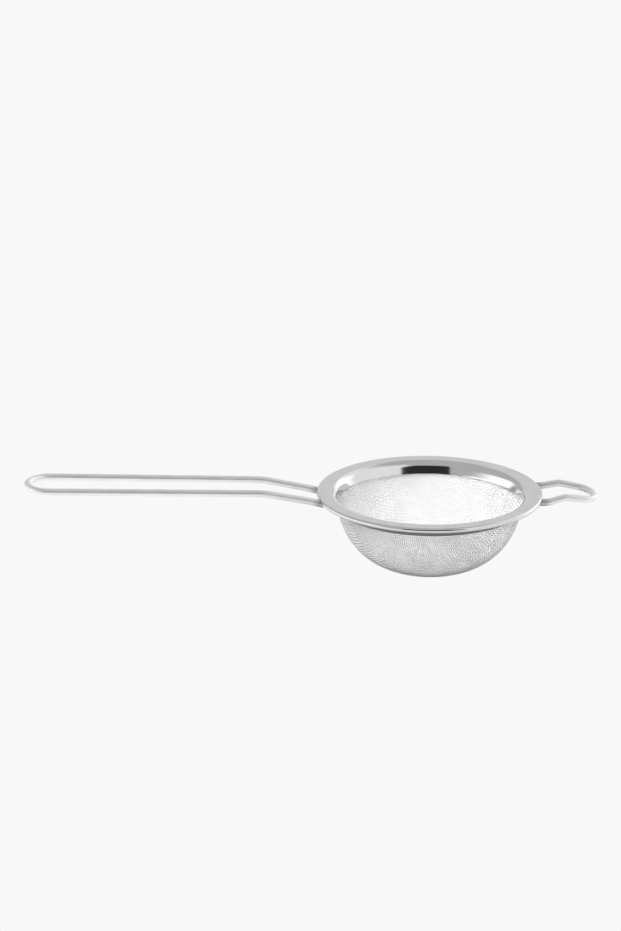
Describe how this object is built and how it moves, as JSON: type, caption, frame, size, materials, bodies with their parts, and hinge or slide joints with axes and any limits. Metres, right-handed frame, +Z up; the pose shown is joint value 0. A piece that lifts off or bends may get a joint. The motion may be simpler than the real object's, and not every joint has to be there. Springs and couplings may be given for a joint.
{
  "type": "tea strainer",
  "caption": "Tea strainer: a deep woven steel bowl in a flat pressed rim, with a long wire loop handle on one side and a short wire cup rest on the other.",
  "frame": {"origin": "under the middle of the overall length, level with the bowl's lowest point; the bowl's axis stands at x = 41.4 mm and the rim's flat top is at z = 28.6 mm", "axes": "+Z up, out of the bowl's mouth; +X along the object from the handle to the cup rest"},
  "size_m": [0.2026, 0.08, 0.0347],
  "materials": {
    "rim_steel": "pressed stainless sheet, satin to bright",
    "woven_steel": "plain-woven stainless wire, bright",
    "clamp_steel": "stainless strip, mill finish",
    "wire_steel": "drawn stainless wire, polished"
  },
  "bodies": {
    "root": {"rim": "rim_steel", "mesh_bowl": "woven_steel", "mesh_clamp_ring": "clamp_steel", "handle_wire": "wire_steel", "rest_wire": "wire_steel"}
  },
  "joints": []
}
